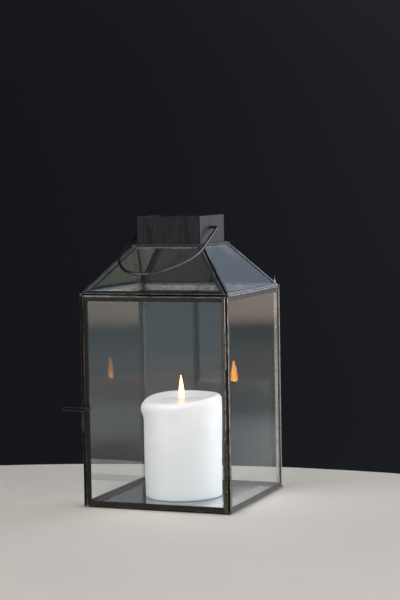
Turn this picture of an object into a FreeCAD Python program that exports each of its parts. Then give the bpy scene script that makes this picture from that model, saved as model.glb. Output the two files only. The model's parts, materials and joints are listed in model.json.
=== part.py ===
import FreeCAD, Part
import os
import Sketcher

# Square glass lantern: panes edged with folded metal channel and soldered at the corners.
# A hinged glass door fills the front. A four-sided glass roof rises to an open square collar,
# whose sides carry a swinging wire bail. A pillar candle stands on the mirror base.
# Millimetres, +Z up. The origin is the centre of the underside.

# Driving dimensions
SIZES = {
    # panes and the folded channel round their edges
    "body_width": 145.0,
    "wall_height": 195.3,
    "wall_lift": 1.4,
    "glass_thick": 2.0,
    "glass_play": 0.05,
    "channel_sheet": 0.5,
    "channel_leg": 3.2,
    "rail_leg": 4.4,
    "channel_bend": 0.45,
    "seam": 0.05,
    # roof
    "roof_pitch": 48.9,
    "hip_gap": 0.1,
    # collar
    "collar_width": 63.7,
    "collar_height": 28.1,
    "collar_sheet": 0.8,
    "collar_drop": 0.6,
    "collar_seat": 0.1,
    "collar_bend": 1.2,
    # bail of round wire
    "bail_wire": 2.7,
    "bail_hole_play": 0.1,
    "bail_hole_below_rim": 11.1,
    "bail_stand_off": 5.0,
    "bail_splay": 1.8,
    "bail_leg": 45.8,
    "bail_reach": 103.7,
    "bail_crown_radius": 27.0,
    "bail_bend": 2.4,
    "bail_end": 2.5,
    "bail_rest_angle": 22.0,
    # door and its tube hinges
    "door_gap": 0.5,
    "tube_radius": 1.5,
    "tube_off_wall": 0.25,
    "pin_radius": 0.8,
    "pin_play": 0.05,
    "knuckle_length": 32.0,
    "knuckle_gap": 0.3,
    "knuckle_inset": 0.6,
    "seat_width": 2.2,
    "pin_head_radius": 1.3,
    "pin_head_height": 0.5,
    "pin_head_gap": 0.1,
    # latch
    "latch_height": 91.6,
    "latch_reach": 23.6,
    "latch_bar": 3.7,
    "latch_strip": 0.9,
    "latch_depth": 1.8,
    "latch_corner": 0.8,
    "latch_eye_radius": 2.0,
    "latch_rest_gap": 0.3,
    "stud_radius": 0.8,
    "stud_play": 0.08,
    "stud_washer": 0.8,
    "stud_washer_radius": 1.5,
    "stud_head": 0.8,
    "stud_head_radius": 1.5,
    "stud_head_round": 0.5,
    "stud_side_play": 0.15,
    "catch_sheet": 0.8,
    "catch_width": 3.6,
    "catch_length": 18.6,
    "catch_shelf": 3.2,
    "catch_bend": 0.7,
    # candle
    "candle_radius": 36.0,
    "candle_height": 98.0,
    "candle_side_shift": 2.4,
    "candle_foot": 2.5,
    "candle_lip_bulge": 2.2,
    "candle_lip_drop": 7.5,
    "candle_lip_round": 3.0,
    "candle_neck_drop": 15.5,
    "candle_rim_width": 2.6,
    "pool_radius": 29.0,
    "pool_depth": 6.5,
    "pool_round": 2.0,
    "wick_radius": 0.8,
    "wick_height": 3.0,
    "wick_curl_radius": 8.0,
    "wick_curl_angle": 35.0,
    # solder beads
    "bead_radius": 1.7,
    "bead_inset": 0.6,
    "bead_lift": 0.4,
    "crown_bead_radius": 2.05,
    "crown_bead_out": 0.8,
    "crown_bead_drop": 1.7,
    "hinge_bead_radius": 1.1,
    # one overrun for every cut, and how near two places count as the same
    "cut_over": 6.0,
    "same_place": 0.05,
}

# Sizes worked out from the driving dimensions
WORKED = {
    "thick": "glass_thick + 2 * glass_play + 2 * channel_sheet",
    "slot": "glass_thick + 2 * glass_play",
    "pane_inset": "channel_sheet + glass_play",
    "half": "body_width / 2",
    "wall_top": "wall_lift + wall_height",
    "back_width": "body_width - 2 * thick",
    "base_depth": "back_width - door_gap",
    "door_width": "back_width - 2 * door_gap",
    "door_height": "wall_height - 2 * door_gap",
    "mid_plane": "half - thick / 2",
    "mirror_top": "thick / 2 + glass_thick / 2",
    "sin_pitch": "sin(roof_pitch * 1 deg)",
    "cos_pitch": "cos(roof_pitch * 1 deg)",
    "collar_half": "collar_width / 2",
    "collar_inside": "collar_half - collar_sheet",
    "roof_length": "(half - thick * sin_pitch - collar_half - collar_seat) / cos_pitch",
    "eave_half": "half - thick * sin_pitch - hip_gap",
    "roof_narrowing": "roof_length * cos_pitch",
    "top_half": "eave_half - roof_narrowing",
    "eave_angle": "atan(1 / cos_pitch)",
    "hip_length": "roof_length / sin(eave_angle)",
    "eave_mitre": "channel_leg / tan(eave_angle / 2)",
    "top_mitre": "channel_leg * tan(eave_angle / 2)",
    "eave_z": "wall_top + seam + thick * cos_pitch",
    "roof_top_z": "eave_z + roof_length * sin_pitch",
    "collar_base_z": "roof_top_z - thick * cos_pitch - collar_drop",
    "collar_top_z": "collar_base_z + collar_height",
    "bail_z": "collar_top_z - bail_hole_below_rim",
    "bail_start": "collar_inside - bail_end",
    "bail_side": "collar_half + bail_stand_off",
    "bail_shoulder": "bail_side + bail_splay",
    "splay_angle": "atan(bail_splay / bail_leg)",
    "bend_x": "bail_side + bend_top * tan(splay_angle) - bail_bend * cos(splay_angle)",
    "bend_top": "bail_bend * (1 - sin(splay_angle))",
    "crown_centre": "bail_reach - bail_crown_radius",
    "crown_fall": "bail_leg - crown_centre",
    "arch_reach": "bail_shoulder ^ 2 + crown_fall ^ 2 - bail_crown_radius ^ 2",
    "arch_lean": "bail_shoulder * cos(splay_angle) - crown_fall * sin(splay_angle) - bail_crown_radius",
    "bail_side_radius": "arch_reach / (2 * arch_lean)",
    "crown_share": "bail_crown_radius / (bail_side_radius - bail_crown_radius)",
    "crown_x": "crown_share * (bail_side_radius * cos(splay_angle) - bail_shoulder)",
    "crown_y": "crown_centre - crown_share * (crown_fall + bail_side_radius * sin(splay_angle))",
    "hinge_x": "half - thick - door_gap / 2",
    "hinge_y": "-(half + tube_radius + tube_off_wall)",
    "seat_depth": "tube_radius + tube_off_wall",
    "door_low_z": "wall_lift + knuckle_inset",
    "frame_low_z": "door_low_z + knuckle_length + knuckle_gap",
    "door_high_z": "wall_top - knuckle_inset - knuckle_length",
    "frame_high_z": "door_high_z - knuckle_gap - knuckle_length",
    "pin_length": "2 * knuckle_length + knuckle_gap + pin_head_gap",
    "stud_x": "-(door_width / 2 - channel_leg / 2)",
    "stud_shank_top": "stud_washer + latch_depth + 2 * stud_side_play",
    "arm_y": "-(half + stud_washer + stud_side_play)",
    "catch_x": "-(half - thick + catch_width / 2)",
    "catch_z": "latch_height - latch_bar / 2 - latch_rest_gap - catch_length",
    "crown_corner": "top_half + thick * sin_pitch + crown_bead_out",
    "pool_z": "candle_height - pool_depth",
    "rim_radius": "candle_radius + candle_lip_bulge - candle_rim_width",
}

document = FreeCAD.newDocument("Lantern")
sheet = document.addObject("Spreadsheet::Sheet", "Sizes")
for line, (alias, number) in enumerate(SIZES.items(), 1):
    sheet.set("A%d" % line, alias)
    sheet.set("B%d" % line, str(number))
    sheet.setAlias("B%d" % line, alias)
document.recompute()


def bound(text):
    """The text as an expression on the sheet, with worked-out sizes written in full."""
    out = ""
    word = ""
    for letter in text + " ":
        if letter.isalnum() or letter == "_":
            word += letter
            continue
        if word in SIZES:
            word = "Sizes." + word
        elif word in WORKED:
            word = "(" + bound(WORKED[word]) + ")"
        out += word + letter
        word = ""
    return out.strip()


def number_of(text):
    """The present value of an expression, as a plain number."""
    result = sheet.evalExpression(bound(text))
    return float(getattr(result, "Value", result))


# Sketches and features

def new_body(label):
    body = document.addObject("PartDesign::Body", label)
    body.Label = label
    return body


def place(body, *steps):
    """Bind the placement to the product of the steps, the outermost first."""
    body.setExpression("Placement", " * ".join(bound(step) for step in steps))


def step(x="0", y="0", z="0", axis="0; 0; 1", turn="0"):
    return "placement(vector(%s; %s; %s); rotation(vector(%s); %s))" % (x, y, z, axis, turn)


def new_sketch(body, name, role="XY_Plane", lift=None):
    sketch = body.newObject("Sketcher::SketchObject", name)
    planes = [item for item in body.Origin.OriginFeatures if item.Role == role]
    sketch.AttachmentSupport = (planes[0], [""])
    sketch.MapMode = "FlatFace"
    if lift:
        sketch.setExpression("AttachmentOffset.Base.z", bound(lift))
    return sketch


def fix_point(sketch, geometry, point, x, y):
    """Hold one point of a sketch at two expressions."""
    for kind, text in (("DistanceX", x), ("DistanceY", y)):
        rule = Sketcher.Constraint(kind, -1, 1, geometry, point, number_of(text))
        index = sketch.addConstraint(rule)
        if text != "0":
            sketch.setExpression("Constraints[%d]" % index, bound(text))


def draw_path(sketch, points, radii=None, closed=True):
    """Lines from point to point. A radius on a stretch makes it an arc: plus bulges to the right."""
    spots = [FreeCAD.Vector(number_of(x), number_of(y), 0) for x, y in points]
    count = len(points) if closed else len(points) - 1
    radii = radii or {}
    for index in range(count):
        start = spots[index]
        end = spots[(index + 1) % len(points)]
        if index in radii:
            middle = arc_middle(start, end, number_of(radii[index]))
            arc = Part.Arc(start, middle, end)
            geometry = sketch.addGeometry(arc, False)
            forward = sketch.Geometry[geometry].StartPoint.isEqual(start, number_of("same_place"))
            first, last = (1, 2) if forward else (2, 1)
            rule = sketch.addConstraint(Sketcher.Constraint("Radius", geometry, number_of(radii[index])))
            sketch.setExpression("Constraints[%d]" % rule, bound(radii[index]))
            fix_point(sketch, geometry, first, *points[index])
            fix_point(sketch, geometry, last, *points[(index + 1) % len(points)])
            continue
        sketch.addGeometry(Part.LineSegment(start, end), False)
        if index - 1 in radii or (closed and index == 0 and count - 1 in radii):
            fix_point(sketch, index, 1, *points[index])
        elif index:
            sketch.addConstraint(Sketcher.Constraint("Coincident", index - 1, 2, index, 1))
        fix_point(sketch, index, 2, *points[(index + 1) % len(points)])
    if closed and 0 not in radii and count - 1 not in radii:
        sketch.addConstraint(Sketcher.Constraint("Coincident", count - 1, 2, 0, 1))
    elif not closed and 0 not in radii:
        fix_point(sketch, 0, 1, *points[0])


def arc_middle(start, end, radius):
    """The middle of the shorter arc of this radius, which bulges to the right of its direction."""
    chord = end - start
    middle = (start + end) * (1 / 2)
    right = FreeCAD.Vector(chord.y, -chord.x, 0).normalize()
    half_chord = chord.Length / 2
    rise = radius - (radius * radius - half_chord * half_chord) ** (1 / 2)
    return middle + right * rise


def draw_circle(sketch, x, y, radius):
    centre = FreeCAD.Vector(number_of(x), number_of(y), 0)
    circle = Part.Circle(centre, FreeCAD.Vector(0, 0, 1), number_of(radius))
    geometry = sketch.addGeometry(circle, False)
    fix_point(sketch, geometry, 3, x, y)
    rule = sketch.addConstraint(Sketcher.Constraint("Radius", geometry, number_of(radius)))
    sketch.setExpression("Constraints[%d]" % rule, bound(radius))


def add_pad(body, sketch, length, both_ways=False):
    pad = body.newObject("PartDesign::Pad", sketch.Name + "_pad")
    pad.Profile = sketch
    pad.SideType = "Symmetric" if both_ways else "One side"
    pad.setExpression("Length", bound(length))
    return pad


def add_pocket(body, sketch, length):
    """A cut that reaches half its length to each side of the sketch."""
    pocket = body.newObject("PartDesign::Pocket", sketch.Name + "_cut")
    pocket.Profile = sketch
    pocket.SideType = "Symmetric"
    pocket.setExpression("Length", bound(length))
    return pocket


def add_turned(body, sketch):
    turned = body.newObject("PartDesign::Revolution", sketch.Name + "_turned")
    turned.Profile = sketch
    turned.ReferenceAxis = (sketch, ["V_Axis"])
    turned.Angle = 360
    return turned


def add_fillet(body, base, name, radius, wanted):
    """Round the edges of the base feature that the test picks."""
    document.recompute()
    names = ["Edge%d" % (i + 1) for i, edge in enumerate(base.Shape.Edges) if wanted(edge)]
    fillet = body.newObject("PartDesign::Fillet", name)
    fillet.Base = (base, names)
    fillet.setExpression("Radius", bound(radius))
    return fillet


def near(a, b):
    return abs(a - b) < number_of("same_place")


def round_edge(edge):
    return edge.Curve.TypeId == "Part::GeomCircle"


def middle_of(edge):
    return edge.valueAt((edge.FirstParameter + edge.LastParameter) / 2)


# Folded channel: a strip in U form that grips the edge of a pane, mitred at both ends

def channel(label, length, leg, start_mitre, end_mitre, *steps):
    body = new_body(label)
    outline = new_sketch(body, label + "_outline")
    draw_path(outline, [
        ("0", "0"),
        (length, "0"),
        (length + " - " + end_mitre, leg),
        (start_mitre, leg),
    ])
    blank = add_pad(body, outline, "thick", both_ways=True)
    side = number_of("thick / 2")
    add_fillet(body, blank, label + "_bend", "channel_bend",
               lambda edge: near(middle_of(edge).y, 0) and near(abs(middle_of(edge).z), side))
    slot = new_sketch(body, label + "_slot")
    draw_path(slot, [
        ("-cut_over", "channel_sheet"),
        (length + " + cut_over", "channel_sheet"),
        (length + " + cut_over", leg + " + cut_over"),
        ("-cut_over", leg + " + cut_over"),
    ])
    add_pocket(body, slot, "slot")
    place(body, *steps)
    return body


def pane(label, points, *steps):
    body = new_body(label)
    outline = new_sketch(body, label + "_outline")
    draw_path(outline, points)
    add_pad(body, outline, "glass_thick", both_ways=True)
    place(body, *steps)
    return body


def square_panel(labels, glass_label, width, height, *steps):
    """A pane between two rails and two narrower uprights, named from the bottom anticlockwise."""
    corners = (("0", "0"), (width, "0"), (width, height), ("0", height))
    lengths = (width, height, width, height)
    legs = ("rail_leg", "channel_leg", "rail_leg", "channel_leg")
    strips = []
    for turn, label in enumerate(labels):
        x, y = corners[turn]
        quarter = step(x, y, turn=str(90 * turn))
        mitre = legs[turn - 1]
        strips.append(channel(label, lengths[turn], legs[turn], mitre, mitre, *steps, quarter))
    glass = pane(glass_label, [
        ("pane_inset", "pane_inset"),
        (width + " - pane_inset", "pane_inset"),
        (width + " - pane_inset", height + " - pane_inset"),
        ("pane_inset", height + " - pane_inset"),
    ], *steps)
    return strips + [glass]


def facing(side):
    """A quarter turn about the upright axis for each side after the front."""
    return step(turn=str(90 * SIDES.index(side)))


SIDES = ("front", "right", "back", "left")
parts = []

# Base: a mirror pane in four channels, which lies between the walls and stands a little below them
parts += square_panel(
    ["base_channel_" + side for side in SIDES],
    "base_mirror", "back_width", "base_depth",
    step("-back_width / 2", "thick + door_gap - half", "thick / 2"),
)

# Side walls run the full depth, and the back wall fits between them
WALLS = (
    ("right", "body_width", ("bottom", "back", "top", "front")),
    ("back", "back_width", ("bottom", "left", "top", "right")),
    ("left", "body_width", ("bottom", "front", "top", "back")),
)
for wall, width, edges in WALLS:
    parts += square_panel(
        [wall + "_channel_" + edge for edge in edges],
        wall + "_glass", width, "wall_height",
        facing(wall),
        step("-(" + width + ") / 2", "-mid_plane", "wall_lift", "1; 0; 0", "90"),
    )

# Door: the whole front, between the side walls
parts += square_panel(
    ["door_rail_bottom", "door_stile_hinge", "door_rail_top", "door_stile_latch"],
    "door_glass", "door_width", "door_height",
    step("-door_width / 2", "-mid_plane", "wall_lift + door_gap", "1; 0; 0", "90"),
)


# Roof: four leaning panes with tapering outlines, each in an eave, two hip and a top channel

def roof_panel(side):
    leaning = (
        facing(side),
        step("0", "-(half - thick / 2 * sin_pitch)", "eave_z - thick / 2 * cos_pitch",
             "1; 0; 0", "roof_pitch"),
    )
    name = "roof_" + side
    strips = [
        channel(name + "_channel_eave", "2 * eave_half", "channel_leg", "eave_mitre", "eave_mitre",
                *leaning, step("-eave_half")),
        channel(name + "_channel_hip_right", "hip_length", "channel_leg", "eave_mitre", "top_mitre",
                *leaning, step("eave_half", turn="180 deg - eave_angle")),
        channel(name + "_channel_top", "2 * top_half", "channel_leg", "top_mitre", "top_mitre",
                *leaning, step("top_half", "roof_length", turn="180")),
        channel(name + "_channel_hip_left", "hip_length", "channel_leg", "top_mitre", "eave_mitre",
                *leaning, step("-top_half", "roof_length", turn="180 deg + eave_angle")),
    ]
    low = "(eave_half - pane_inset * cos_pitch - pane_inset / sin(eave_angle))"
    high = "(top_half + pane_inset * cos_pitch - pane_inset / sin(eave_angle))"
    glass = pane(name + "_glass", [
        ("-" + low, "pane_inset"),
        (low, "pane_inset"),
        (high, "roof_length - pane_inset"),
        ("-" + high, "roof_length - pane_inset"),
    ], *leaning)
    return strips + [glass]


for roof_side in SIDES:
    parts += roof_panel(roof_side)


# Collar: an open square tube of sheet, with a round hole for the bail in two sides

def square_points(half_width):
    return [
        ("-" + half_width, "-" + half_width),
        (half_width, "-" + half_width),
        (half_width, half_width),
        ("-" + half_width, half_width),
    ]


def collar():
    body = new_body("collar")
    outside = new_sketch(body, "collar_outside")
    draw_path(outside, square_points("collar_half"))
    block = add_pad(body, outside, "collar_height")
    middle_height = number_of("collar_height / 2")
    add_fillet(body, block, "collar_outer_bends", "collar_bend",
               lambda edge: near(middle_of(edge).z, middle_height))
    inside = new_sketch(body, "collar_inside")
    draw_path(inside, square_points("collar_inside"))
    hollow = add_pocket(body, inside, "2 * (collar_height + cut_over)")
    reach = number_of("collar_inside")
    add_fillet(body, hollow, "collar_inner_bends", "collar_bend - collar_sheet",
               lambda edge: near(middle_of(edge).z, middle_height)
               and near(abs(middle_of(edge).x), reach) and near(abs(middle_of(edge).y), reach))
    holes = new_sketch(body, "collar_holes", "YZ_Plane")
    draw_circle(holes, "0", "collar_height - bail_hole_below_rim", "bail_wire / 2 + bail_hole_play")
    add_pocket(body, holes, "collar_width + 2 * cut_over")
    place(body, step(z="collar_base_z"))
    return body


# Bail: one round wire, straight through the collar wall at each end, with a three-arc arch

def bail():
    body = new_body("bail_handle")
    right = [
        ("bail_start", "0"),
        ("bend_x", "0"),
        ("bend_x + bail_bend * cos(splay_angle)", "bend_top"),
        ("bail_shoulder", "bail_leg"),
        ("crown_x", "crown_y"),
    ]
    left = [("-(" + x + ")", y) for x, y in reversed(right)]
    path = new_sketch(body, "bail_path")
    draw_path(path, right + left, {
        1: "bail_bend", 3: "bail_side_radius", 4: "bail_crown_radius", 5: "bail_side_radius", 7: "bail_bend",
    }, closed=False)
    section = new_sketch(body, "bail_section", "YZ_Plane", "bail_start")
    draw_circle(section, "0", "0", "bail_wire / 2")
    wire = body.newObject("PartDesign::AdditivePipe", "bail_sweep")
    wire.Profile = section
    wire.Spine = path
    place(body, step(z="bail_z", axis="1; 0; 0", turn="180 + bail_rest_angle"))
    return body


parts += [collar(), bail()]


# Hinges: tubes with a soldered seat, turning on two dropped-in pins

def knuckle(label, toward, height):
    """A hinge tube whose seat stands on the door (-) or on the wall (+)."""
    body = new_body(label)
    tube = new_sketch(body, label + "_tube")
    draw_circle(tube, "0", "0", "tube_radius")
    add_pad(body, tube, "knuckle_length")
    seat = new_sketch(body, label + "_seat")
    draw_path(seat, [
        (toward + "door_gap / 2", "0"),
        (toward + "seat_width", "0"),
        (toward + "seat_width", "seat_depth"),
        (toward + "door_gap / 2", "seat_depth"),
    ])
    add_pad(body, seat, "knuckle_length")
    bore = new_sketch(body, label + "_bore")
    draw_circle(bore, "0", "0", "pin_radius + pin_play")
    add_pocket(body, bore, "2 * (knuckle_length + cut_over)")
    place(body, step("hinge_x", "hinge_y", height))
    return body


def hinge_pin(label, height):
    """A straight pin with a small head, measured down from the top of its upper tube."""
    body = new_body(label)
    outline = new_sketch(body, label + "_profile", "XZ_Plane")
    draw_path(outline, [
        ("0", "pin_head_gap - pin_length"),
        ("pin_radius", "pin_head_gap - pin_length"),
        ("pin_radius", "pin_head_gap"),
        ("pin_head_radius", "pin_head_gap"),
        ("pin_head_radius", "pin_head_gap + pin_head_height"),
        ("0", "pin_head_gap + pin_head_height"),
    ])
    add_turned(body, outline)
    place(body, step("hinge_x", "hinge_y", height))
    return body


parts += [
    knuckle("door_knuckle_lower", "-", "door_low_z"),
    knuckle("frame_knuckle_lower", "", "frame_low_z"),
    knuckle("frame_knuckle_upper", "", "frame_high_z"),
    knuckle("door_knuckle_upper", "-", "door_high_z"),
    hinge_pin("hinge_pin_lower", "frame_low_z + knuckle_length"),
    hinge_pin("hinge_pin_upper", "door_high_z + knuckle_length"),
]


# Latch: a folded strip that turns on a stud on the door and drops onto the wall's catch

def latch_arm():
    body = new_body("latch_arm")
    bar = new_sketch(body, "latch_bar_outline")
    draw_path(bar, [
        ("-latch_reach", "-latch_bar / 2"),
        ("0", "-latch_bar / 2"),
        ("0", "latch_bar / 2"),
        ("-latch_reach", "latch_bar / 2"),
    ])
    blank = add_pad(body, bar, "latch_depth")
    far_end = number_of("-latch_reach")
    half_depth = number_of("latch_depth / 2")
    add_fillet(body, blank, "latch_fold", "latch_corner",
               lambda edge: near(middle_of(edge).x, far_end) and near(middle_of(edge).z, half_depth))
    eye = new_sketch(body, "latch_eye")
    draw_circle(eye, "0", "0", "latch_eye_radius")
    add_pad(body, eye, "latch_depth")
    fold = new_sketch(body, "latch_gap")
    draw_path(fold, [
        ("latch_strip - latch_reach", "latch_strip - latch_bar / 2"),
        ("-latch_eye_radius", "latch_strip - latch_bar / 2"),
        ("-latch_eye_radius", "latch_bar / 2 - latch_strip"),
        ("latch_strip - latch_reach", "latch_bar / 2 - latch_strip"),
    ])
    add_pocket(body, fold, "2 * (latch_depth + cut_over)")
    hole = new_sketch(body, "latch_hole")
    draw_circle(hole, "0", "0", "stud_radius + stud_play")
    add_pocket(body, hole, "2 * (latch_depth + cut_over)")
    place(body, step("stud_x", "arm_y", "latch_height", "1; 0; 0", "90"))
    return body


def latch_stud():
    body = new_body("latch_stud")
    outline = new_sketch(body, "stud_profile", "XZ_Plane")
    draw_path(outline, [
        ("0", "0"),
        ("stud_washer_radius", "0"),
        ("stud_washer_radius", "stud_washer"),
        ("stud_radius", "stud_washer"),
        ("stud_radius", "stud_shank_top"),
        ("stud_head_radius", "stud_shank_top"),
        ("stud_head_radius", "stud_shank_top + stud_head"),
        ("0", "stud_shank_top + stud_head"),
    ])
    turned = add_turned(body, outline)
    top = number_of("stud_shank_top + stud_head")
    add_fillet(body, turned, "stud_dome", "stud_head_round",
               lambda edge: near(middle_of(edge).z, top) and round_edge(edge))
    place(body, step("stud_x", "-half", "latch_height", "1; 0; 0", "90"))
    return body


def latch_catch():
    body = new_body("latch_catch")
    outline = new_sketch(body, "catch_profile", "YZ_Plane")
    draw_path(outline, [
        ("0", "0"),
        ("0", "catch_length"),
        ("-catch_shelf", "catch_length"),
        ("-catch_shelf", "catch_length - catch_sheet"),
        ("-catch_sheet", "catch_length - catch_sheet"),
        ("-catch_sheet", "0"),
    ])
    strip = add_pad(body, outline, "catch_width", both_ways=True)
    top = number_of("catch_length")
    add_fillet(body, strip, "catch_fold", "catch_bend",
               lambda edge: near(middle_of(edge).z, top) and near(middle_of(edge).y, 0))
    place(body, step("catch_x", "-half", "catch_z"))
    return body


parts += [latch_arm(), latch_stud(), latch_catch()]


# Candle: a pillar with a softened lip and a melted pool, and its curled wick

def candle():
    body = new_body("candle")
    outline = new_sketch(body, "candle_profile", "XZ_Plane")
    draw_path(outline, [
        ("0", "0"),
        ("candle_radius", "0"),
        ("candle_radius", "candle_height - candle_neck_drop"),
        ("candle_radius + candle_lip_bulge", "candle_height - candle_lip_drop"),
        ("rim_radius", "candle_height"),
        ("pool_radius", "pool_z"),
        ("0", "pool_z"),
    ])
    turned = add_turned(body, outline)
    foot = add_fillet(body, turned, "candle_foot_round", "candle_foot",
                      lambda edge: near(middle_of(edge).z, 0) and round_edge(edge))
    lip = number_of("candle_height - candle_lip_drop")
    rim = number_of("candle_height")
    rounded = add_fillet(body, foot, "candle_lip_soft", "candle_lip_round",
                         lambda edge: near(middle_of(edge).z, lip) and round_edge(edge))
    add_fillet(body, rounded, "candle_rim_soft", "pool_round",
               lambda edge: near(middle_of(edge).z, rim) and round_edge(edge))
    place(body, step("-candle_side_shift", "0", "mirror_top"))
    return body


def wick():
    body = new_body("wick")
    path = new_sketch(body, "wick_path", "XZ_Plane")
    draw_path(path, [
        ("0", "0"),
        ("0", "wick_height"),
        ("wick_curl_radius * (cos(wick_curl_angle * 1 deg) - 1)",
         "wick_height + wick_curl_radius * sin(wick_curl_angle * 1 deg)"),
    ], {1: "wick_curl_radius"}, closed=False)
    section = new_sketch(body, "wick_section")
    draw_circle(section, "0", "0", "wick_radius")
    cord = body.newObject("PartDesign::AdditivePipe", "wick_sweep")
    cord.Profile = section
    cord.Spine = path
    place(body, step("-candle_side_shift", "0", "mirror_top + pool_z"))
    return body


parts += [candle(), wick()]


# Solder: beads that fill the corners, each shaped by the pieces around it

def solder_bead(x, y, z, radius):
    centre = FreeCAD.Vector(number_of(x), number_of(y), number_of(z))
    return Part.makeSphere(number_of(radius), centre)


def solder_beads():
    document.recompute()
    beads = []
    for sx in ("", "-"):
        for sy in ("", "-"):
            corner = (sx + "(half - bead_inset)", sy + "(half - bead_inset)")
            beads.append(solder_bead(*corner, "bead_radius + bead_lift", "bead_radius"))
            beads.append(solder_bead(*corner, "eave_z - thick / 2 * cos_pitch", "bead_radius"))
            crown = (sx + "crown_corner", sy + "crown_corner")
            beads.append(solder_bead(*crown, "roof_top_z - crown_bead_drop", "crown_bead_radius"))
    beads.append(solder_bead("half", "-half", "frame_low_z", "hinge_bead_radius"))
    beads.append(solder_bead("half", "-half", "frame_high_z + knuckle_length", "hinge_bead_radius"))
    around = [part.Shape for part in parts]
    shaped = []
    for bead in beads:
        for shape in around:
            if shape.BoundBox.intersect(bead.BoundBox):
                bead = bead.cut(shape)
        shaped.append(max(bead.Solids, key=lambda solid: solid.Volume))
    group = document.addObject("Part::Feature", "solder_beads")
    group.Label = "solder_beads"
    group.Shape = Part.makeCompound(shaped)
    group.Placement = FreeCAD.Placement()
    return group


def check_all():
    """Stop if any object failed or any sub-part has no sound shape."""
    document.recompute()
    for item in document.Objects:
        if "Invalid" in item.State or "Error" in item.State:
            raise RuntimeError("failed object: " + item.Label)
    for part in parts:
        if part.Shape.isNull() or not part.Shape.isValid():
            raise RuntimeError("bad shape: " + part.Label)


check_all()
parts.append(solder_beads())
check_all()

os.makedirs("parts", exist_ok=True)
for part in parts:
    part.Shape.exportStep("parts/" + part.Label + ".step")
print("nodes", len(parts))
for name in ("wall_top", "eave_z", "roof_top_z", "collar_top_z", "bail_z", "hinge_x", "hinge_y", "stud_x"):
    print(name, round(number_of(name), 3))
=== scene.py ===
import json
import math

import bpy
from mathutils import Matrix, Vector, noise


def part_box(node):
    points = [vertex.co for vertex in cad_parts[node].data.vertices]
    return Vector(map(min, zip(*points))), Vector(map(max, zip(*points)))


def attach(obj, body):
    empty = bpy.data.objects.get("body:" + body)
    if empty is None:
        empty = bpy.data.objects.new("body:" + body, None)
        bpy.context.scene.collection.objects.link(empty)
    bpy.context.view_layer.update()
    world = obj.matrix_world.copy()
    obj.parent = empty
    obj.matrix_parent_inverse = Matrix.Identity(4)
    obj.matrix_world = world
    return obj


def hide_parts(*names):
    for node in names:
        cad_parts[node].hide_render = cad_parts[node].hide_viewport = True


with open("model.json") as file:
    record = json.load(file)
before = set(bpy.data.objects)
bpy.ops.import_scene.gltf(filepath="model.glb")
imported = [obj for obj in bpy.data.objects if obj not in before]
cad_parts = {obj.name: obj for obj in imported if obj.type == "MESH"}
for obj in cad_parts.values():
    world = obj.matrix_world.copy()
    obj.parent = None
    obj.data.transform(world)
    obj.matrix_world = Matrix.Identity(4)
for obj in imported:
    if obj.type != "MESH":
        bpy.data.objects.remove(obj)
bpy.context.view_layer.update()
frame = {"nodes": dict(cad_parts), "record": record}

nodes = frame["nodes"]
MM = 0.001


def on_circle(k, around):
    """Step k of a full circle in so many steps, as the cosine and sine of its direction."""
    turn = 2 * math.pi * k / around
    return math.cos(turn), math.sin(turn)


# Materials

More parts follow.
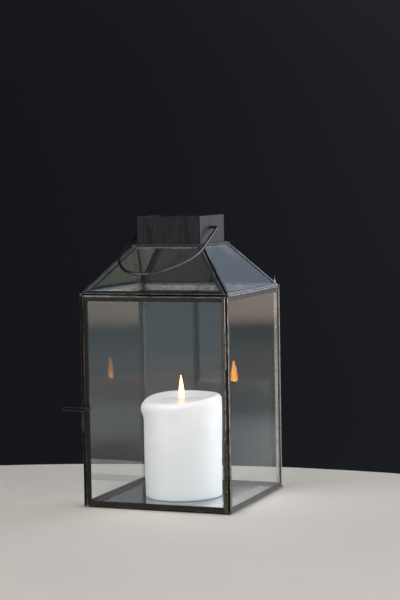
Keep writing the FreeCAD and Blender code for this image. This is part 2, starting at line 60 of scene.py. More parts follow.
class Shades:
    """A material under construction: makes nodes and joins them."""

    def __init__(self, name):
        self.material = bpy.data.materials.new(name)
        self.material.use_nodes = True
        self.tree = self.material.node_tree
        self.tree.nodes.clear()
        self.output = self.add("ShaderNodeOutputMaterial")
        self.place = self.add("ShaderNodeTexCoord").outputs["Object"]

    def add(self, kind, **settings):
        """A new node with the given settings."""
        node = self.tree.nodes.new(kind)
        for name, value in settings.items():
            setattr(node, name, value)
        return node

    def feed(self, socket, value):
        """Join a socket to another, or set it to a plain value. None leaves it as it is."""
        if isinstance(value, bpy.types.NodeSocket):
            self.tree.links.new(value, socket)
        elif value is not None:
            socket.default_value = value

    def shader(self, **values):
        """The surface shader. An underscore in a socket's name stands for a space."""
        node = self.add("ShaderNodeBsdfPrincipled")
        for name, value in values.items():
            self.feed(node.inputs[name.replace("_", " ")], value)
        return node

    def mixed(self, share, first, second):
        """Two shaders mixed, with so large a share of the second."""
        node = self.add("ShaderNodeMixShader")
        self.feed(node.inputs[0], share)
        self.feed(node.inputs[1], first.outputs[0])
        self.feed(node.inputs[2], second.outputs[0])
        return node

    def stretched(self, x, y, z):
        """The object's own coordinates, scaled along each axis."""
        node = self.add("ShaderNodeMapping")
        self.feed(node.inputs["Vector"], self.place)
        self.feed(node.inputs["Scale"], (x, y, z))
        return node.outputs["Vector"]

    def mottle(self, scale, detail=4.0, rough=0.6, place=None, twist=0.0):
        """Cloudy noise from 0 to 1, with about so many clouds to the metre."""
        node = self.add("ShaderNodeTexNoise")
        self.feed(node.inputs["Vector"], place or self.place)
        self.feed(node.inputs["Scale"], scale)
        self.feed(node.inputs["Detail"], detail)
        self.feed(node.inputs["Roughness"], rough)
        self.feed(node.inputs["Distortion"], twist)
        return node.outputs["Fac"]

    def steps(self, value, *stops):
        """A colour or grey ramp over (position, colour) stops."""
        node = self.add("ShaderNodeValToRGB")
        self.feed(node.inputs["Fac"], value)
        ramp = node.color_ramp.elements
        while len(ramp) < len(stops):
            ramp.new(1.0)
        for element, (position, colour) in zip(ramp, stops):
            element.position = position
            grey = not isinstance(colour, tuple)
            element.color = (colour, colour, colour, 1.0) if grey else (*colour, 1.0)
        return node.outputs["Color"]

    def parts(self, vector):
        """The X, Y and Z of a vector."""
        node = self.add("ShaderNodeSeparateXYZ")
        self.feed(node.inputs[0], vector)
        return node.outputs

    def along(self, axis, *stops):
        """A ramp over (distance, colour) stops along an axis of the object, from 0 to 100 mm."""
        span = 100 * MM
        share = self.calc("MULTIPLY", self.parts(self.place)[axis], 1 / span)
        return self.steps(share, *((distance / span, colour) for distance, colour in stops))

    def blend(self, share, first, second, way="MIX"):
        """Two colours laid over each other, with so large a share of the second."""
        node = self.add("ShaderNodeMix", data_type="RGBA", blend_type=way)
        self.feed(node.inputs["Factor"], share)
        for socket, value in ((node.inputs[6], first), (node.inputs[7], second)):
            self.feed(socket, (*value, 1.0) if isinstance(value, tuple) else value)
        return node.outputs[2]

    def calc(self, way, first, second=None):
        """One step of arithmetic."""
        node = self.add("ShaderNodeMath", operation=way)
        self.feed(node.inputs[0], first)
        self.feed(node.inputs[1], second)
        return node.outputs[0]

    def vector_calc(self, way, first, second=None):
        """One step of vector arithmetic. A dot product gives a number, the others a vector."""
        node = self.add("ShaderNodeVectorMath", operation=way)
        self.feed(node.inputs[0], first)
        self.feed(node.inputs[1], second)
        return node.outputs["Value" if way == "DOT_PRODUCT" else "Vector"]

    def relief(self, height, depth, strength=1.0, under=None):
        """Small bumps of a given depth, over those of another relief."""
        node = self.add("ShaderNodeBump")
        self.feed(node.inputs["Strength"], strength)
        self.feed(node.inputs["Distance"], depth)
        self.feed(node.inputs["Height"], height)
        self.feed(node.inputs["Normal"], under)
        return node.outputs["Normal"]

    def done(self, shader):
        """The finished material, with this shader on its surface."""
        self.feed(self.output.inputs["Surface"], shader.outputs[0])
        return self.material


FOLD_WEAR_AND_HIGHLIGHT = 6.0    # a fold's brightness against that of a rubbed spot, partly wear and partly painted highlight
FOLD_LIMIT = 0.9    # no fold is brighter than this
WEB_SHADE = 0.3     # painted shade: the web's brightness against that of the dark patina


def fold_wear_highlight_and_web_shade(s, colour, dark, worn, across):
    """Brighten the folds of a channel, partly as wear and partly as painted highlight, and paint shade on the
    web between its legs.

    Across is the normal of the channel's panel. The folds lie neither along nor across the panel, and the
    web faces along it.
    """
    facing = s.vector_calc("DOT_PRODUCT", s.add("ShaderNodeNewGeometry").outputs["True Normal"], across)
    square = s.calc("MULTIPLY", facing, facing)
    fold = s.calc("MULTIPLY", square, s.calc("SUBTRACT", 1.0, square))
    # Folds brightened where rubbed: partly wear, partly painted highlight
    rubbed = s.steps(s.mottle(110.0, detail=5.0), (0.38, 0.05), (0.62, 1.0))
    fold_wear_and_highlight = s.calc("MULTIPLY", s.steps(fold, (0.06, 0.0), (0.2, 1.0)), rubbed)
    colour = s.blend(fold_wear_and_highlight, colour, tuple(min(FOLD_LIMIT, FOLD_WEAR_AND_HIGHLIGHT * c) for c in worn))
    # Painted shade on the web between the legs
    web = s.steps(square, (0.02, 1.0), (0.1, 0.0))
    return s.blend(web, colour, tuple(WEB_SHADE * c for c in dark))


def patina(name, dark, light, worn, shine, across=None, metal=0.85, streak=1.0):
    """Darkened sheet metal: clouds of dark and light patina with worn spots.

    Shine is the roughness of the light clouds. A streak below 1 draws the clouds out upwards. A folded
    channel is also given the normal of its panel, for folds brightened partly as wear and partly as painted
    highlight, and for painted shade on its web.
    """
    s = Shades(name)
    clouds = s.mottle(140.0, detail=5.0, rough=0.65, place=s.stretched(1, 1, streak), twist=0.6)
    grain = s.mottle(1400.0, detail=3.0)
    base = s.steps(clouds, (0.30, dark), (0.55, light), (0.75, dark))
    spots = s.steps(s.mottle(420.0, detail=2.0), (0.60, 0.0), (0.74, 0.7))
    colour = s.blend(spots, base, worn)
    if across:
        colour = fold_wear_highlight_and_web_shade(s, colour, dark, worn, across)
    rough = s.steps(clouds, (0.3, shine + 0.10), (0.7, shine))
    normal = s.relief(clouds, 0.12 * MM, under=s.relief(grain, 0.02 * MM))
    return s.done(s.shader(Base_Color=colour, Roughness=rough, Metallic=metal, Normal=normal))


def solder_metal(name, dark, light):
    """Lumpy solder, duller in its dark hollows."""
    s = Shades(name)
    lumps = s.mottle(500.0, detail=4.0)
    colour = s.steps(lumps, (0.35, dark), (0.7, light))
    rough = s.steps(lumps, (0.3, 0.6), (0.7, 0.38))
    normal = s.relief(lumps, 0.25 * MM)
    return s.done(s.shader(Base_Color=colour, Roughness=rough, Metallic=0.9, Normal=normal))


def wire_metal():
    """Blue-black drawn wire."""
    s = Shades("wire_metal")
    blotches = s.mottle(300.0, detail=5.0)
    colour = s.steps(blotches, (0.3, (0.052, 0.055, 0.063)), (0.7, (0.105, 0.110, 0.124)))
    rough = s.steps(s.mottle(900.0), (0.3, 0.24), (0.7, 0.38))
    normal = s.relief(blotches, 0.05 * MM)
    return s.done(s.shader(Base_Color=colour, Roughness=rough, Metallic=0.9, Normal=normal))


def pane_glass():
    """Clear, slightly wavy float glass. Shadow rays pass straight through, so light gets inside."""
    s = Shades("pane_glass")
    tint = s.steps(s.mottle(14.0, detail=5.0), (0.35, (0.94, 0.965, 0.955)), (0.7, (0.965, 0.98, 0.975)))
    waves = s.relief(s.mottle(7.0, detail=1.0), 0.5 * MM, strength=0.05)
    glass = s.shader(Base_Color=tint, Roughness=0.0, IOR=1.5, Transmission_Weight=1.0, Normal=waves)
    clear = s.add("ShaderNodeBsdfTransparent")
    s.feed(clear.inputs["Color"], (0.93, 0.95, 0.94, 1.0))
    return s.done(s.mixed(s.add("ShaderNodeLightPath").outputs["Is Shadow Ray"], glass, clear))


def mirror_glass():
    """Dark silvering that grows paler and less metallic towards the right."""
    s = Shades("mirror_glass")
    haze = s.mottle(25.0, detail=6.0, rough=0.7, twist=1.0)
    silver = s.steps(haze, (0.3, (0.20, 0.225, 0.26)), (0.7, (0.31, 0.34, 0.385)))
    rough = s.steps(haze, (0.35, 0.03), (0.75, 0.16))
    # Paler and less metallic from 30 mm right of the middle
    paler_right = s.along("X", (30 * MM, 0.0), (50 * MM, 0.6))
    colour = s.blend(paler_right, silver, (0.62, 0.62, 0.61))
    return s.done(s.shader(Base_Color=colour, Roughness=rough, Metallic=s.calc("SUBTRACT", 1.0, paler_right)))


def candle_wax():
    """Pillar wax, darker and cooler towards its foot by painted shade, and a little darker from just below
    its rim up.
    """
    s = Shades("candle_wax")
    wax = s.steps(s.mottle(60.0, detail=5.0), (0.3, (0.715, 0.688, 0.695)), (0.7, (0.775, 0.750, 0.759)))
    # Painted shade: darker and cooler towards the foot, which gets less light
    foot = s.along("Z", (0.0, 1.0), (75 * MM, 0.0))
    # A little darker from just below the rim up
    darker_top = s.along("Z", (90.5 * MM, 0.0), (95.5 * MM, 1.0))
    colour = s.blend(darker_top, s.blend(foot, wax, (0.67, 0.68, 0.685)), (0.66, 0.632, 0.642))
    normal = s.relief(s.mottle(350.0, detail=3.0), 0.05 * MM)
    return s.done(s.shader(Base_Color=colour, Roughness=0.42, Specular_IOR_Level=0.3, Normal=normal,
                           Subsurface_Weight=0.85, Subsurface_Radius=(0.012, 0.011, 0.010),
                           Subsurface_Scale=1.0))


def charred_wick():
    """Black char with a few brown fibres."""
    s = Shades("charred_wick")
    char = s.steps(s.mottle(900.0), (0.4, (0.006, 0.005, 0.004)), (0.7, (0.05, 0.035, 0.025)))
    return s.done(s.shader(Base_Color=char, Roughness=0.9))


# Folded channels: each is finished for the panel it belongs to

PANES = {"base": "base_mirror", "door": "door_glass", "back": "back_glass", "left": "left_glass",
         "right": "right_glass", "roof_front": "roof_front_glass", "roof_back": "roof_back_glass",
         "roof_left": "roof_left_glass", "roof_right": "roof_right_glass"}
# How much brighter or darker the channels of some panels, and some single channels, are painted: painted
# light and shade for how light falls on each
CHANNEL_LIGHT_AND_SHADE = {
    "base": 0.25,
    "base_channel_left": 1.4,
    "door_rail_top": 0.7,
    "door_rail_bottom": 0.5,
    "door_stile_latch": 0.4,
    "door_stile_hinge": 2.2,
    "left": 0.45,
    "left_channel_top": 6.0,
    "right": 1.7,
    "right_channel_top": 1.1,
    "right_channel_back": 5.5,
    "back": 1.5,
    "back_channel_top": 5.0,
    "back_channel_right": 8.0,
    "roof_front_channel_eave": 0.4,
    "roof_front_channel_hip_left": 2.2,
    "roof_right": 1.9,
    "roof_right_channel_eave": 3.5,
    "roof_right_channel_hip_right": 5.0,
    "roof_back_channel_eave": 5.0,
    "roof_left": 1.5,
    "roof_left_channel_eave": 8.0,
}
# Dark patina, light patina and worn spots, before the painted light and shade above
WALL_TONES = ((0.022, 0.021, 0.019), (0.062, 0.057, 0.050), (0.15, 0.138, 0.12))
ROOF_TONES = ((0.024, 0.025, 0.027), (0.066, 0.069, 0.075), (0.14, 0.145, 0.155))


def longest_start(name, starts):
    """The longest of the starts that a name begins with."""
    return max((start for start in starts if name.startswith(start)), key=len)


def channel_finish(channel):
    """The patina of a panel's channels, or of a single channel, with its painted light and shade."""
    panel = longest_start(channel, PANES)
    largest_face = max(nodes[PANES[panel]].data.polygons, key=lambda face: face.area)
    tones = ROOF_TONES if panel.startswith("roof") else WALL_TONES
    # The tones scaled by the painted light and shade of this channel or its panel
    dark, light, worn = (tuple(CHANNEL_LIGHT_AND_SHADE.get(channel, 1.0) * c for c in tone) for tone in tones)
    return patina("channel_" + channel, dark, light, worn, shine=0.34, metal=0.7,
                  across=tuple(largest_face.normal))


CHANNELS = {channel: channel_finish(channel) for channel in sorted({*PANES, *CHANNEL_LIGHT_AND_SHADE})}
COLLAR = patina("collar_metal", (0.022, 0.0225, 0.024), (0.063, 0.065, 0.069), (0.105, 0.107, 0.11),
                shine=0.25, metal=1.0, streak=0.12)
HINGE = patina("hinge_metal", (0.05, 0.044, 0.034), (0.26, 0.23, 0.18), (0.36, 0.32, 0.25),
               shine=0.18, metal=1.0)
# A darker copy of the hinge metal for the lower knuckles: painted shade
SHADED_HINGE = patina("shaded_hinge_metal", (0.02, 0.018, 0.015), (0.10, 0.088, 0.07), (0.2, 0.18, 0.14),
                   shine=0.22, metal=1.0)
LATCH = patina("latch_metal", (0.020, 0.018, 0.015), (0.055, 0.05, 0.042), (0.09, 0.08, 0.068), shine=0.34)
SOLDER = solder_metal("solder_metal", (0.05, 0.05, 0.05), (0.24, 0.235, 0.23))
SEAM = solder_metal("seam_metal", (0.18, 0.175, 0.17), (0.66, 0.66, 0.64))
DULL_SEAM = solder_metal("eave_seam_metal", (0.06, 0.058, 0.056), (0.40, 0.40, 0.39))
WAX = candle_wax()

# Finishes by material slot, and of the nodes that differ from the rest of their slot
SLOT_FINISHES = {
    "collar_metal": COLLAR, "hinge_metal": HINGE, "solder": SOLDER, "bail_wire": wire_metal(),
    "pane_glass": pane_glass(), "mirror": mirror_glass(), "wax": WAX, "wick": charred_wick(),
}
NODE_FINISHES = {
    "latch_arm": LATCH, "latch_catch": LATCH, "latch_stud": LATCH,
    "door_knuckle_lower": SHADED_HINGE, "frame_knuckle_lower": SHADED_HINGE,
}


def finish_of(node_name, slot):
    """The finish of a node. Channels take that of their own panel."""
    if node_name in NODE_FINISHES:
        return NODE_FINISHES[node_name]
    if slot == "channel_metal":
        return CHANNELS[longest_start(node_name, CHANNELS)]
    return SLOT_FINISHES[slot]


slots = {part["node"]: part["material_slot"] for part in frame["record"]["subparts"]}
for node_name, thing in nodes.items():
    thing.data.materials.clear()
    thing.data.materials.append(finish_of(node_name, slots[node_name]))


# Meshes

def new_piece(name, points, faces, finish, body="root"):
    """A smooth mesh piece that rides on a body."""
    mesh = bpy.data.meshes.new(name)
    mesh.from_pydata(points, [], faces)
    mesh.materials.append(finish)
    for polygon in mesh.polygons:
        polygon.use_smooth = True
    piece = bpy.data.objects.new(name, mesh)
    bpy.context.scene.collection.objects.link(piece)
    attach(piece, body)
    return piece


def closed_skin(rows, around, first=0):
    """Faces over rows of points that each go once around, closed at both ends. First is the first point."""
    faces = []
    for row in range(rows - 1):
        for k in range(around):
            a = row * around + k
            b = row * around + (k + 1) % around
            faces.append((a, b, b + around, a + around))
    faces.append(tuple(range(around))[::-1])
    faces.append(tuple(range((rows - 1) * around, rows * around)))
    return [tuple(first + i for i in face) for face in faces]


# Candle: a pillar whose rim has burnt lower on one side and sagged outward on another

CANDLE_RADIUS = 37.2 * MM
CANDLE_SHIFT = 1.2 * MM     # it stands this far right of the middle of its seat
CANDLE_AROUND = 120
CANDLE_TAPER = 0.8 * MM     # the foot's radius is this much smaller than the neck's
FOOT_ROUNDING = 1.2 * MM
SIDE_SWAY = 0.35 * MM
RIM_DROP = 0.2 * MM         # the highest part of the rim lies this far below the full height
RIM_WOBBLE = 0.4 * MM
BULGE, BULGE_WOBBLE = 0.1 * MM, 0.3 * MM    # past the pillar's radius
NECK_HEIGHT = 9.0 * MM      # between the neck and the bulge
POOL_SHORE = 0.52           # the level pool's radius against that of the pillar
# The bulge's depth below the rim and the lip's width, each with what sagging adds
BELLY_DROP, BELLY_SAG = 5.5 * MM, 5.0 * MM
LIP_WIDTH, LIP_SAG = 4.0 * MM, 6.5 * MM
# Direction, from +X towards +Y, and spread of each change of the rim, with how far it goes
SLUMP_AT, SLUMP_SPREAD, SLUMP_DEPTH = math.radians(240), math.radians(66), 4.0 * MM
DIP_AT, DIP_SPREAD, DIP_DEPTH = math.radians(290), math.radians(42), 1.9 * MM
SAG_AT, SAG_SPREAD, SAG_REACH = math.radians(196), math.radians(36), 2.4 * MM


def near_turn(turn, middle, spread):
    """1 at the middle direction, falling to 0 away from it."""
    off = (turn - middle + math.pi) % (2 * math.pi) - math.pi
    return math.exp(-(off / spread) ** 2)


def candle_side(turn, neck):
    """Outline points (r, z) at one direction, from the middle of the foot up to the neck."""
    foot_rows, side_rows = 5, 24
    around, upwards = 1.1, 22.0     # how fast the sway changes
    radius = CANDLE_RADIUS - CANDLE_TAPER
    outline = [(0.0, 0.0), (0.5 * CANDLE_RADIUS, 0.0)]
    for k in range(foot_rows):
        bend = math.pi / 2 * k / (foot_rows - 1)
        outline.append((radius - FOOT_ROUNDING + FOOT_ROUNDING * math.sin(bend),
                        FOOT_ROUNDING - FOOT_ROUNDING * math.cos(bend)))
    for k in range(1, side_rows + 1):
        rise = k / side_rows
        z = FOOT_ROUNDING + (neck - FOOT_ROUNDING) * rise
        sway = SIDE_SWAY * noise.noise((around * math.cos(turn), around * math.sin(turn), upwards * z))
        outline.append((CANDLE_RADIUS - CANDLE_TAPER * (1 - rise) + sway, z))
    return outline


def candle_profile(turn, height, floor):
    """Outline points (r, z) at one direction, from the middle of the foot to the middle of the pool."""
    neck_rows, lip_rows, shore_rows = 7, 9, 12
    around, seed = 1.3, 7.1
    slump = near_turn(turn, SLUMP_AT, SLUMP_SPREAD)
    dip = near_turn(turn, DIP_AT, DIP_SPREAD)
    sag = near_turn(turn, SAG_AT, SAG_SPREAD)
    wobble = noise.noise((around * math.cos(turn), around * math.sin(turn), seed))
    rim = height - RIM_DROP - SLUMP_DEPTH * slump - DIP_DEPTH * dip - RIM_WOBBLE * abs(wobble)
    bulge = CANDLE_RADIUS + BULGE + SAG_REACH * sag + BULGE_WOBBLE * wobble
    belly = rim - BELLY_DROP - BELLY_SAG * sag
    lip = LIP_WIDTH + LIP_SAG * sag
    neck = belly - NECK_HEIGHT
    outline = candle_side(turn, neck)
    waist = outline[-1][0]
    for k in range(1, neck_rows + 1):
        rise = k / neck_rows
        ease = rise * rise * (3 - 2 * rise)
        outline.append((waist + (bulge - waist) * ease, neck + (belly - neck) * rise))
    for k in range(1, lip_rows + 1):
        bend = math.pi / 2 * k / lip_rows
        outline.append((bulge - lip + lip * math.cos(bend), belly + (rim - belly) * math.sin(bend)))
    crest = bulge - lip
    shore = POOL_SHORE * CANDLE_RADIUS
    for k in range(1, shore_rows + 1):
        sink = k / shore_rows
        level = floor + (rim - floor) * (0.5 + 0.5 * math.cos(math.pi * sink))
        outline.append((crest + (shore - crest) * sink, level))
    return outline + [(shore * share, floor) for share in (0.75, 0.5, 0.25, 0.0)]


def candle_body():
    """The pillar, from the outlines all around it."""
    smallest = 0.01 * MM    # no row of points shrinks to a single place
    low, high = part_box("candle")
    middle = (low + high) / 2 + Vector((CANDLE_SHIFT, 0, 0))
    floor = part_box("wick")[0].z - low.z
    outlines = [candle_profile(2 * math.pi * k / CANDLE_AROUND, high.z - low.z, floor)
                for k in range(CANDLE_AROUND)]
    rows = len(outlines[0])
    points = []
    for row in range(rows):
        for k, outline in enumerate(outlines):
            cosine, sine = on_circle(k, CANDLE_AROUND)
            r, z = outline[row]
            r = max(r, smallest)
            points.append((middle.x + r * cosine, middle.y + r * sine, low.z + z))
    piece = new_piece("candle_body", points, closed_skin(rows, CANDLE_AROUND), WAX)
    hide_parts("candle")


candle_body()


# Solder: lumps at the corners, uneven seams along the joints and one drip drawn up to a point

# The outer top corner of the walls, at the back right
WALL_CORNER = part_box("right_channel_top")[1]
# How much of its bead's size a lump fills, at the crown, the eaves and the foot
CROWN_FILL, EAVE_FILL, FOOT_FILL = 0.45, 0.72, 0.58
CROWN_LEVEL = WALL_CORNER.z + 5.0 * MM
FOOT_LEVEL = 20.0 * MM


def islands(thing):
    """The separate pieces of a mesh, each as its middle and half its width."""
    mesh = thing.data
    group = list(range(len(mesh.vertices)))

    def head(i):
        while group[i] != i:
            group[i] = group[group[i]]
            i = group[i]
        return i

    for edge in mesh.edges:
        a, b = head(edge.vertices[0]), head(edge.vertices[1])
        group[a] = b
    found = {}
    for i, vertex in enumerate(mesh.vertices):
        found.setdefault(head(i), []).append(vertex.co)
    lumps = []
    for spots in found.values():
        low = Vector(min(spot[k] for spot in spots) for k in range(3))
        high = Vector(max(spot[k] for spot in spots) for k in range(3))
        lumps.append(((low + high) / 2, max(high - low) / 2))
    return lumps


def lump_fill(level):
    """How much of its bead's size a lump at this level fills."""
    if level > CROWN_LEVEL:
        return CROWN_FILL
    return FOOT_FILL if level < FOOT_LEVEL else EAVE_FILL


def solder_lumps():
    """Uneven lumps at the places of the solder beads. A bead that is hardly there gets none."""
    rows, around = 11, 18
    smallest = 0.5 * MM
    lowest = 0.1 * MM       # the lumps at the foot are flat below
    unevenness, grain, apart = 0.34, 1.4, 3.7
    points, faces = [], []
    for index, (middle, size) in enumerate(islands(nodes["solder_beads"])):
        if size < smallest:
            continue
        faces += closed_skin(rows, around, first=len(points))
        for row in range(rows):
            # The end rows stop just short of the poles
            tilt = math.pi * (row + 0.01) / (rows - 0.98)
            for k in range(around):
                cosine, sine = on_circle(k, around)
                way = Vector((math.sin(tilt) * cosine, math.sin(tilt) * sine, math.cos(tilt)))
                bumps = noise.noise(way * grain + Vector((apart * index, 0, 0)))
                spot = middle + way * size * (lump_fill(middle.z) + unevenness * bumps)
                points.append((spot.x, spot.y, max(spot.z, lowest)))
    piece = new_piece("solder_lumps", points, faces, SOLDER)
    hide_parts("solder_beads")


def solder_seam(name, start, end, thick, seed, finish=SEAM):
    """An uneven bead of solder along a straight joint, thinner at its ends."""
    row_length, around = 0.9 * MM, 10
    fine, coarse = 260.0, 150.0     # how fast its thickness and its course change
    run = end - start
    ahead = run.normalized()
    side = ahead.orthogonal().normalized()
    other = ahead.cross(side)
    steps = int(run.length / row_length)
    points = []
    for row in range(steps + 1):
        centre = start + run * (row / steps)
        shrink = min(1.0, 0.15 + min(row, steps - row) / 3)
        size = thick * shrink * (0.95 + 0.5 * noise.noise(centre * fine + Vector((seed, 0, 0))))
        shift = side * (0.25 * thick * noise.noise(centre * coarse + Vector((0, seed, 0))))
        for k in range(around):
            cosine, sine = on_circle(k, around)
            points.append(tuple(centre + shift + size * (side * cosine + other * sine)))
    new_piece(name, points, closed_skin(steps + 1, around), finish)


def collar_seams():
    """Seams around the foot of the collar."""
    low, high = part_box("collar")
    half = high.x + 1.5 * MM
    level = low.z - 0.4 * MM
    corners = [Vector((sx * half, sy * half, level)) for sx, sy in ((-1, -1), (1, -1), (1, 1), (-1, 1))]
    for k, name in enumerate(("front", "right", "back", "left")):
        solder_seam("collar_seam_" + name, corners[k], corners[(k + 1) % 4], 1.9 * MM, 5.0 * k)


def eave_seams():
    """Seams between the walls and the roof. The front has none, because the door opens there."""
    reach = WALL_CORNER.x - 0.6 * MM
    half = reach - 3.0 * MM
    level = WALL_CORNER.z + 0.4 * MM
    thick = 1.3 * MM
    solder_seam("eave_seam_right", Vector((reach, -half, level)), Vector((reach, half, level)), thick, 31.0,
                DULL_SEAM)
    solder_seam("eave_seam_left", Vector((-reach, -half, level)), Vector((-reach, half, level)), thick, 37.0)
    solder_seam("eave_seam_back", Vector((-half, reach, level)), Vector((half, reach, level)), thick, 41.0)


def solder_spike():
    """A drip of solder drawn up to a point, low on the back right hip."""
    rows, around = 10, 12
    height, thick, tip = 7.5 * MM, 1.3 * MM, 0.12 * MM
    low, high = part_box("roof_right_channel_hip_right")
    reach = high.x - 3.3 * MM
    foot = Vector((reach, reach, low.z + 2.3 * MM))
    points = []
    for row in range(rows):
        t = row / (rows - 1)
        size = thick * (1 - t) ** 1.6 + tip
        sway = 0.5 * MM * noise.noise((2.0 * t, 3.1, 0.0))
        for k in range(around):
            cosine, sine = on_circle(k, around)
            points.append((foot.x + sway + size * cosine, foot.y - sway + size * sine, foot.z + height * t))
    new_piece("solder_spike", points, closed_skin(rows, around), SEAM)


solder_lumps()
collar_seams()
eave_seams()
solder_spike()


# Flame: a bright core inside a faint shell, so its edge is soft. It is deeper than wide, as from a flat wick.

WICK_LOW, WICK_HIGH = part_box("wick")
FLAME_X = (WICK_LOW.x + WICK_HIGH.x) / 2 + 1.0 * MM     # over the tip of the leaning wick
FLAME_LOW = WICK_LOW.z + 0.1 * MM
FLAME_HIGH = WICK_LOW.z + 24.0 * MM
FLAME_DEEP_WAY = Vector((0.36, -0.93, 0.0))
FLAME_DEPTH = 1.8           # its size that way against its width
FLAME_LEAN = 0.3 * MM       # its tip leans this far to the left
FLAME_FOOT = 0.08           # it swells to its full width over this share of its height
FLAME_WAIST = 0.26          # and grows thinner above this one
FLAME_FULLNESS = 1.35       # the higher, the longer it stays full


def flame_fire(name, foot_colour, body_colour, strength, clearness):
    """Glowing gas, of one colour at the flame's foot and another from half its height."""
    s = Shades(name)
    share = s.add("ShaderNodeMapRange")
    s.feed(share.inputs["Value"], s.parts(s.place)["Z"])
    s.feed(share.inputs["From Min"], FLAME_LOW)
    s.feed(share.inputs["From Max"], FLAME_HIGH)
    fire = s.add("ShaderNodeEmission")
    s.feed(fire.inputs["Color"], s.steps(share.outputs[0], (0.0, foot_colour), (0.5, body_colour)))
    s.feed(fire.inputs["Strength"], strength)
    return s.done(s.mixed(clearness, fire, s.add("ShaderNodeBsdfTransparent")))


def flame_shell(name, radius, low, high, fire):
    """A teardrop: fullest near its foot and drawn out to a tip."""
    rings, around = 30, 24
    points = []
    for ring in range(rings + 1):
        t = ring / rings
        foot = min(1.0, t / FLAME_FOOT)
        taper = max(0.0, (t - FLAME_WAIST) / (1 - FLAME_WAIST))
        swell = math.sqrt(math.sin(math.pi / 2 * foot)) * (1 - taper ** FLAME_FULLNESS)
        for k in range(around):
            cosine, sine = on_circle(k, around)
            spot = Vector((radius * swell * cosine, radius * swell * sine, 0.0))
            spot += (FLAME_DEPTH - 1.0) * spot.dot(FLAME_DEEP_WAY) * FLAME_DEEP_WAY
            points.append((FLAME_X - FLAME_LEAN * t * t + spot.x, spot.y, low + (high - low) * t))
    shell = new_piece(name, points, closed_skin(rings + 1, around), fire)
    shell.visible_diffuse = False


flame_shell("flame_outer", 2.9 * MM, FLAME_LOW, FLAME_HIGH,
            flame_fire("flame_outer_fire", (1.0, 0.42, 0.14), (1.0, 0.48, 0.18), 3.0, 0.75))
flame_shell("flame_core", 2.35 * MM, FLAME_LOW + 0.3 * MM, FLAME_HIGH - 0.8 * MM,
            flame_fire("flame_core_fire", (1.0, 0.36, 0.075), (1.0, 0.36, 0.075), 26.0, 0.0))


# Floor and lights

def floor_paint():
    """Pale, dull and nearly even."""
    pale = (0.65, 0.605, 0.55)
    s = Shades("floor_paint")
    soft = s.steps(s.mottle(3.0, detail=3.0), (0.3, pale), (0.7, tuple(c * 0.95 for c in pale)))
    return s.done(s.shader(Base_Color=soft, Roughness=0.7))


def floor_disc(radius, x, y):
    """A round floor about a place, level with the foot of the lantern."""
    around = 96
    circle = [on_circle(k, around) for k in range(around)]
    mesh = bpy.data.meshes.new("floor")
    mesh.from_pydata([(x + radius * cosine, y + radius * sine, 0.0) for cosine, sine in circle], [],
                     [tuple(range(around))])
    mesh.materials.append(floor_paint())
    floor = bpy.data.objects.new("floor", mesh)
    bpy.context.scene.collection.objects.link(floor)


def softbox(name, place, target, width, height, glow, colour, through_panes=True):
    """An area light of an even glow, turned to face its target.

    It shows neither directly nor, where told so, through the panes.
    """
    light = bpy.data.lights.new(name, "AREA")
    light.shape = "RECTANGLE"
    light.size = width
    light.size_y = height
    light.color = colour
    light.energy = glow * math.pi * width * height
    thing = bpy.data.objects.new(name, light)
    bpy.context.scene.collection.objects.link(thing)
    turn = (Vector(target) - Vector(place)).to_track_quat("-Z", "Y")
    thing.matrix_world = Matrix.Translation(Vector(place)) @ turn.to_matrix().to_4x4()
    thing.visible_camera = False
    thing.visible_transmission = through_panes


floor_disc(0.75, 0.05, -0.56)
softbox("key", place=(1.9, -0.9, 1.6), target=(0, 0, 0.1), width=2.2, height=1.8, glow=3.2,
        colour=(0.98, 0.98, 1.0))
softbox("fill", place=(-1.3, -2.3, 1.9), target=(0, 0, 0.12), width=2.6, height=2.0, glow=4.1,
        colour=(1.0, 0.985, 0.99))
softbox("side", place=(1.68, 0.89, 0.29), target=(0, 0, 0.1), width=1.75, height=1.35, glow=3.7,
        colour=(0.87, 0.90, 1.0), through_panes=False)


# Surroundings: dark, with soft glows that the glass and metal reflect

class Surroundings(Shades):
    """The world under construction, as a sum of glows."""

    def __init__(self):
        self.world = bpy.data.worlds.new("surroundings")
        self.world.use_nodes = True
        self.tree = self.world.node_tree
        way = self.add("ShaderNodeTexCoord").outputs["Generated"]
        self.rise = self.parts(way)["Z"]
        self.level_way = self.vector_calc("NORMALIZE", self.vector_calc("MULTIPLY", way, (1, 1, 0)))
        self.total = None

    def glow(self, bearing, spread, rise, depth, colour, edge=2.0):
        """A soft glow: bearing from +Y towards +X and its spread in degrees; rise and depth as sines.

        A larger edge gives it firmer ends.
        """
        turn = math.radians(bearing)
        near = self.vector_calc("DOT_PRODUCT", self.level_way, (math.sin(turn), math.cos(turn), 0))
        aside = self.calc("MULTIPLY", self.calc("SUBTRACT", 1.0, near), 2 / math.radians(spread) ** 2)
        wide = self.calc("POWER", aside, edge / 2)
        above = self.calc("DIVIDE", self.calc("SUBTRACT", self.rise, rise), depth)
        tall = self.calc("POWER", self.calc("ABSOLUTE", above), edge)
        share = self.calc("EXPONENT", self.calc("MULTIPLY", self.calc("ADD", wide, tall), -1.0))
        part = self.blend(share, (0.0, 0.0, 0.0), colour)
        self.total = part if self.total is None else self.blend(1.0, self.total, part, "ADD")

    def finished(self, dark):
        """Put the world in place, with this darkness under its glows."""
        back = self.tree.nodes["Background"]
        self.feed(back.inputs["Color"], self.blend(1.0, self.total, dark, "ADD"))
        bpy.context.scene.world = self.world


surroundings = Surroundings()
# Seen in the door and the back pane
surroundings.glow(-159.0, 45.0, -0.10, 0.066, (0.49, 0.585, 0.62), 4.0)
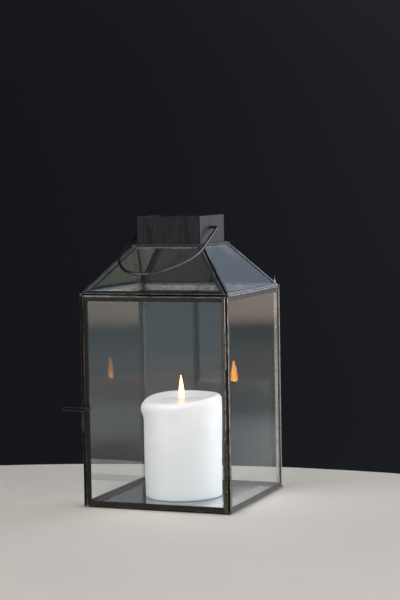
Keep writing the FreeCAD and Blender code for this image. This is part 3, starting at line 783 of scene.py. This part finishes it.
# Seen in the left and right panes: a tall band, then lower ones below it
surroundings.glow(24.0, 22.0, 0.087, 0.145, (0.62, 0.62, 0.66), 16.0)
surroundings.glow(24.0, 22.0, -0.0665, 0.0165, (0.54, 0.42, 0.33), 6.0)
surroundings.glow(21.0, 11.0, -0.108, 0.022, (0.09, 0.10, 0.09), 4.0)
surroundings.glow(26.0, 5.0, -0.137, 0.011, (0.20, 0.23, 0.25), 4.0)
surroundings.glow(17.5, 4.5, -0.155, 0.020, (0.30, 0.33, 0.33), 4.0)
# Seen in the right roof pane
surroundings.glow(10.0, 22.0, 0.36, 0.14, (0.32, 0.38, 0.48))
# Seen in the right arm of the bail
surroundings.glow(41.0, 14.0, 0.36, 0.17, (4.6, 4.8, 5.4), 4.0)
# Seen in the left roof pane
surroundings.glow(1.0, 15.0, -0.36, 0.10, (0.17, 0.19, 0.14))
# Seen in the front roof pane
surroundings.glow(-116.0, 60.0, 0.95, 0.14, (0.05, 0.055, 0.05))
# A faint one far behind, to the right
surroundings.glow(-11.0, 9.0, 0.10, 0.30, (0.007, 0.007, 0.008))
surroundings.finished((0.0075, 0.0080, 0.0100))


# Camera: yaw turns it from +Y towards -X, pitch tips it down and roll leans it

CAMERA_PLACE = Vector((618.2, -1546.0, 304.4)) * MM
YAW, PITCH, ROLL = (math.radians(angle) for angle in (21.212, 4.0, -1.034))
FOCAL_LENGTH, SENSOR_WIDTH = 106.09, 36.0


def add_camera():
    """The view from the front, a little from the right and above."""
    ahead = Vector((-math.sin(YAW) * math.cos(PITCH), math.cos(YAW) * math.cos(PITCH), -math.sin(PITCH)))
    level = Vector((math.cos(YAW), math.sin(YAW), 0.0))
    upward = level.cross(ahead)
    right = math.cos(ROLL) * level + math.sin(ROLL) * upward
    top = -math.sin(ROLL) * level + math.cos(ROLL) * upward
    lens = bpy.data.cameras.new("camera")
    lens.lens = FOCAL_LENGTH
    lens.sensor_width = SENSOR_WIDTH
    camera = bpy.data.objects.new("camera", lens)
    turn = Matrix((right, top, -ahead)).transposed()
    camera.matrix_world = Matrix.Translation(CAMERA_PLACE) @ turn.to_4x4()
    bpy.context.scene.collection.objects.link(camera)
    bpy.context.scene.camera = camera


add_camera()
bpy.context.scene.view_settings.view_transform = "Standard"
